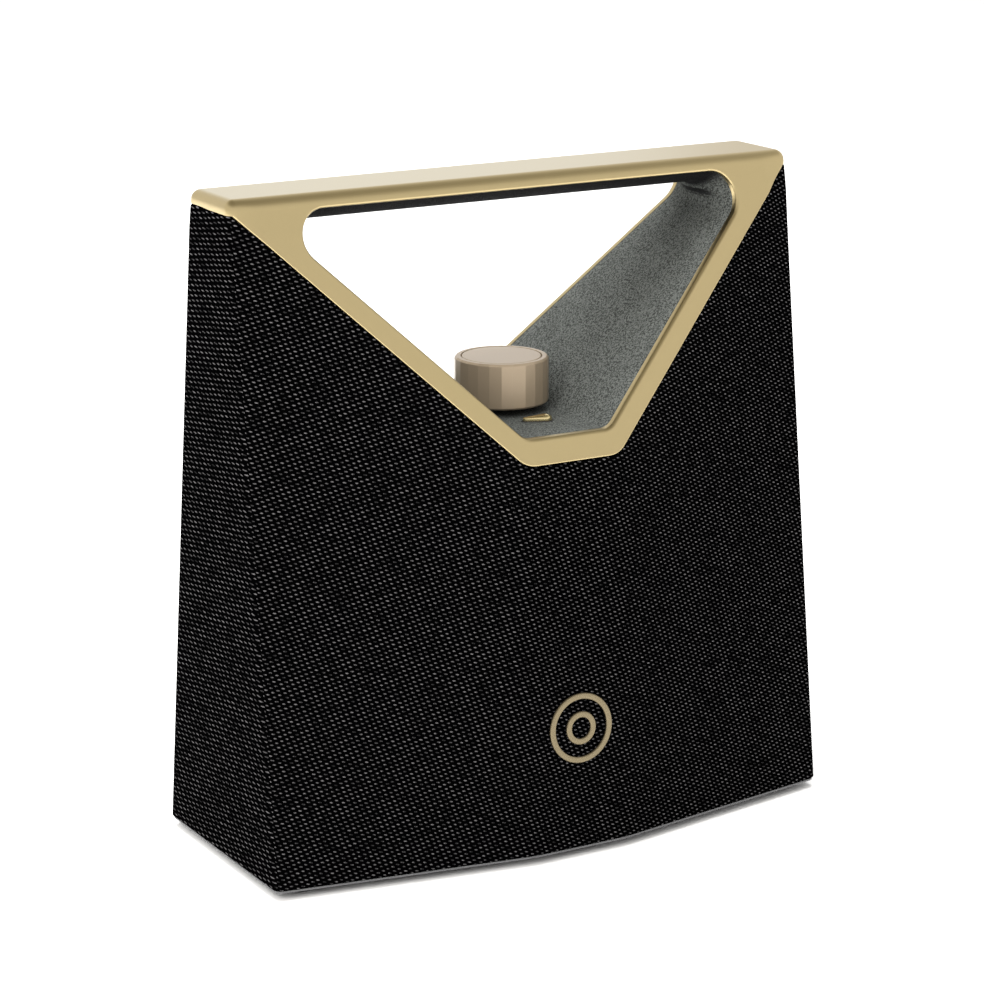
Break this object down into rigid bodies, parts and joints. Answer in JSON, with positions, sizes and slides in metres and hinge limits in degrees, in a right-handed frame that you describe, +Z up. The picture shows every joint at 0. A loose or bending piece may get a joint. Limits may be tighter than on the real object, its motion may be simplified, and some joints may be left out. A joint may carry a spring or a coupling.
{
  "type": "tabletop wireless loudspeaker",
  "caption": "Wedge-shaped tabletop loudspeaker in black woven cloth, with a metal-framed carrying opening through its top, a faceted volume knob and a power key.",
  "frame": {"origin": "centre of the footprint, on the surface the feet stand on", "axes": "+Z up, -Y is the front with the badge, +X to the right seen from the front"},
  "size_m": [0.2554, 0.1336, 0.268],
  "materials": {
    "champagne_metal": "satin, fine brushed",
    "knob_metal": "satin",
    "polished_brass": "polished",
    "suede_lining": "napped",
    "black_cloth": "woven",
    "black_plastic": "fine texture",
    "grey_plastic": "satin",
    "black_rubber": "matte",
    "steel": "zinc plated",
    "bare_aluminium": "satin",
    "paper_cone": "pressed",
    "copper_wire": "enamelled",
    "circuit_board": "solder mask",
    "cell_wrap": "shrink film"
  },
  "bodies": {
    "cabinet": {"handle_frame": "champagne_metal", "rear_frame": "champagne_metal", "handle_lining": "suede_lining", "handle_core": "bare_aluminium", "handle_screw_1": "steel", "handle_screw_2": "steel", "handle_screw_3": "steel", "handle_screw_4": "steel", "knob_encoder": "steel", "encoder_nut": "steel", "key_bezel": "black_plastic", "key_pin": "steel", "key_spring": "steel", "key_switch": "black_plastic", "control_board": "circuit_board", "cabinet_body": "black_plastic", "front_baffle": "black_plastic", "rear_baffle": "black_plastic", "fabric_cover": "black_cloth", "front_grille": "black_plastic", "rear_grille": "black_plastic", "base_screw_1": "steel", "base_screw_2": "steel", "base_screw_3": "steel", "base_screw_4": "steel", "base_plate": "grey_plastic", "foot_front_left": "black_rubber", "foot_front_right": "black_rubber", "foot_rear_left": "black_rubber", "foot_rear_right": "black_rubber", "woofer_basket": "steel", "woofer_magnet": "steel", "woofer_surround": "black_rubber", "woofer_spider": "black_cloth", "tweeter_left_flange": "black_plastic", "tweeter_left_dome": "black_cloth", "tweeter_left_magnet": "steel", "radiator_left_surround": "black_rubber", "tweeter_right_flange": "black_plastic", "tweeter_right_dome": "black_cloth", "tweeter_right_magnet": "steel", "radiator_right_surround": "black_rubber", "battery_pack": "cell_wrap", "battery_bracket": "steel", "main_board": "circuit_board", "heat_sink": "bare_aluminium", "port_panel": "black_plastic", "usb_socket": "steel", "audio_socket": "black_plastic", "badge_ring": "champagne_metal", "badge_centre": "champagne_metal"},
    "knob": {"volume_knob": "knob_metal", "knob_cap": "knob_metal", "knob_shaft": "steel"},
    "key": {"power_key": "polished_brass"},
    "woofer_diaphragm": {"woofer_cone": "paper_cone", "woofer_dust_cap": "paper_cone", "woofer_coil": "copper_wire"},
    "left_radiator": {"radiator_left_plate": "bare_aluminium"},
    "right_radiator": {"radiator_right_plate": "bare_aluminium"}
  },
  "joints": [
    {"name": "knob_turn", "type": "hinge", "parent": "cabinet", "child": "knob", "pos_m": [0, -0.0022, 0.19], "axis": [0, 0, 1], "continuous": true},
    {"name": "key_press", "type": "hinge", "parent": "cabinet", "child": "key", "pos_m": [-0.0036, -0.0272, 0.1671], "axis": [0.2283, 0.9736, 0], "range_deg": [0, 4.4], "stiffness_Nm_per_rad": 0.1, "springref_deg": -3.44, "deforming": ["key_spring"]},
    {"name": "woofer_travel", "type": "slide", "parent": "cabinet", "child": "woofer_diaphragm", "axis": [0, -1, 0], "range_m": [-0.0025, 0.0025], "stiffness_N_per_m": 1500, "deforming": ["woofer_surround", "woofer_spider"]},
    {"name": "left_radiator_travel", "type": "slide", "parent": "cabinet", "child": "left_radiator", "axis": [-0.207, 0.9751, 0.0798], "range_m": [-0.003, 0.003], "stiffness_N_per_m": 900, "deforming": ["radiator_left_surround"]},
    {"name": "right_radiator_travel", "type": "slide", "parent": "cabinet", "child": "right_radiator", "axis": [0.207, 0.9751, 0.0798], "range_m": [-0.003, 0.003], "stiffness_N_per_m": 900, "deforming": ["radiator_right_surround"]}
  ]
}
